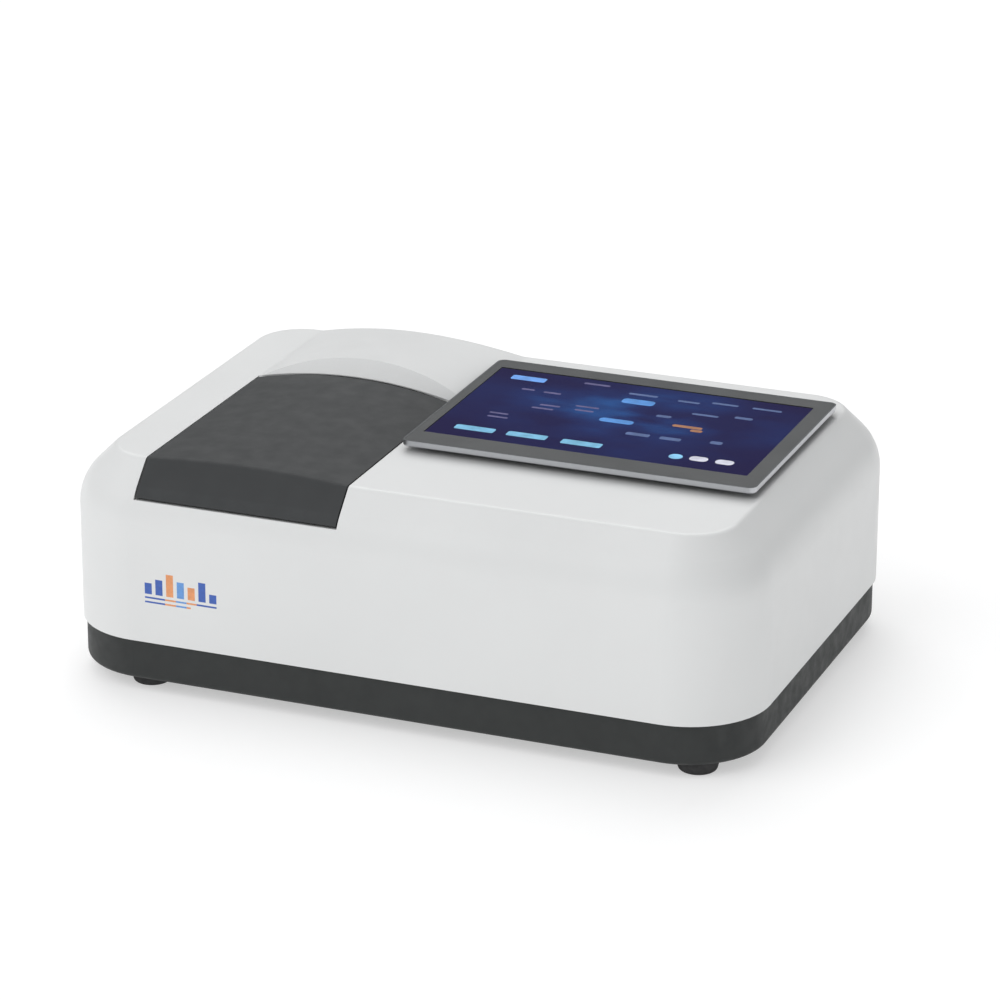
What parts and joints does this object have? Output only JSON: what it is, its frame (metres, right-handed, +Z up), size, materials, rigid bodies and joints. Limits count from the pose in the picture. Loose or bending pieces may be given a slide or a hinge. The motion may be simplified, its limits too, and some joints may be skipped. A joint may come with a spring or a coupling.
{
  "type": "spectrophotometer",
  "caption": "Benchtop UV-visible spectrophotometer with a hinged sample compartment lid, a flat touch display and a motor-driven cell changer.",
  "frame": {"origin": "on the bench, under the middle of the instrument", "axes": "+X to the operator's right along the width, +Y to the back, +Z up"},
  "size_m": [0.464, 0.322, 0.1698],
  "materials": {
    "housing_white": "satin",
    "lid_grey": "satin",
    "base_grey": "satin",
    "foot_rubber": "matt",
    "seal_foam": "matt foam",
    "badge_ink": "printed film",
    "screw_steel": "zinc plated",
    "ground_steel": "ground bright",
    "panel_steel": "powder coat",
    "black_anodised": "black anodised",
    "cast_aluminium": "machined",
    "display_silver": "satin anodised",
    "bezel_black": "printed glass",
    "screen": "lit panel",
    "touch_glass": "clear",
    "quartz": "polished",
    "filter_glass": "coloured",
    "mirror_coat": "front coated",
    "grating_coat": "ruled",
    "motor_case": "black",
    "nut_brass": "turned",
    "board_green": "solder resist",
    "port_steel": "plated",
    "black_plastic": "moulded"
  },
  "bodies": {
    "instrument": {"base_screws": "screw_steel", "base_tray": "base_grey", "board_standoffs": "nut_brass", "carriage_motor": "motor_case", "chamber_windows": "quartz", "collimating_mirror": "mirror_coat", "data_ports": "port_steel", "detector_board": "board_green", "detector_housing": "black_anodised", "deuterium_lamp": "quartz", "display_bezel": "bezel_black", "display_frame": "display_silver", "display_mount": "seal_foam", "fan_frame": "black_plastic", "fan_guard": "port_steel", "filter_motor": "motor_case", "focusing_mirror": "mirror_coat", "folding_mirror": "mirror_coat", "foot_front_left": "foot_rubber", "foot_front_right": "foot_rubber", "foot_rear_left": "foot_rubber", "foot_rear_right": "foot_rubber", "front_badge": "badge_ink", "grating_motor": "motor_case", "guide_rods": "ground_steel", "guide_supports": "cast_aluminium", "hinge_brackets": "cast_aluminium", "hinge_pins": "screw_steel", "inlet_pins": "nut_brass", "isolation_mounts": "foot_rubber", "lamp_cover": "cast_aluminium", "lamp_house": "cast_aluminium", "lcd_panel": "screen", "lid_seal": "seal_foam", "main_board": "board_green", "mains_inlet": "black_plastic", "monochromator_cover": "black_anodised", "monochromator_housing": "black_anodised", "optical_base": "cast_aluminium", "panel_screws": "screw_steel", "power_supply": "panel_steel", "power_switch": "black_plastic", "rear_panel": "panel_steel", "sample_chamber": "black_anodised", "slit_plates": "black_anodised", "source_motor": "motor_case", "touch_glass": "touch_glass", "tungsten_lamp": "quartz", "upper_housing": "housing_white"},
    "lid": {"compartment_lid": "lid_grey"},
    "carriage": {"cell_carriage": "black_anodised", "carriage_nut": "nut_brass"},
    "screw": {"lead_screw": "ground_steel"},
    "grating_turret": {"grating_table": "black_anodised", "grating": "grating_coat"},
    "filter_turret": {"filter_wheel": "black_anodised", "order_filters": "filter_glass"},
    "selector": {"source_mirror": "mirror_coat"},
    "fan": {"fan_impeller": "black_plastic"},
    "rocker": {"power_rocker": "black_plastic"}
  },
  "joints": [
    {"name": "lid_hinge", "type": "hinge", "parent": "instrument", "child": "lid", "pos_m": [-0.105, 0.023, 0.1445], "axis": [-1, 0, 0], "range_deg": [0, 60]},
    {"name": "carriage_slide", "type": "slide", "parent": "instrument", "child": "carriage", "axis": [0, -1, 0], "range_m": [0, 0.054]},
    {"name": "screw_turn", "type": "hinge", "parent": "instrument", "child": "screw", "pos_m": [-0.105, -0.06, 0.048], "axis": [0, -1, 0], "range_deg": [0, 2440]},
    {"name": "grating_turn", "type": "hinge", "parent": "instrument", "child": "grating_turret", "pos_m": [0.08, -0.016, 0.08], "axis": [0, 0, 1], "range_deg": [-20, 45]},
    {"name": "filter_turn", "type": "hinge", "parent": "instrument", "child": "filter_turret", "pos_m": [0.142, 0.034, 0.08], "axis": [1, 0, 0], "continuous": true},
    {"name": "selector_turn", "type": "hinge", "parent": "instrument", "child": "selector", "pos_m": [0.174, 0.01, 0.08], "axis": [0, 0, 1], "range_deg": [0, 90]},
    {"name": "fan_spin", "type": "hinge", "parent": "instrument", "child": "fan", "pos_m": [0.138, 0.144, 0.076], "axis": [0, 1, 0], "continuous": true},
    {"name": "power_switch_rock", "type": "hinge", "parent": "instrument", "child": "rocker", "pos_m": [-0.092, 0.154, 0.076], "axis": [-1, 0, 0], "range_deg": [0, 16]}
  ],
  "couplings": [
    {"joint": "screw_turn", "follows": "carriage_slide", "rad_per_m": 785.4}
  ]
}
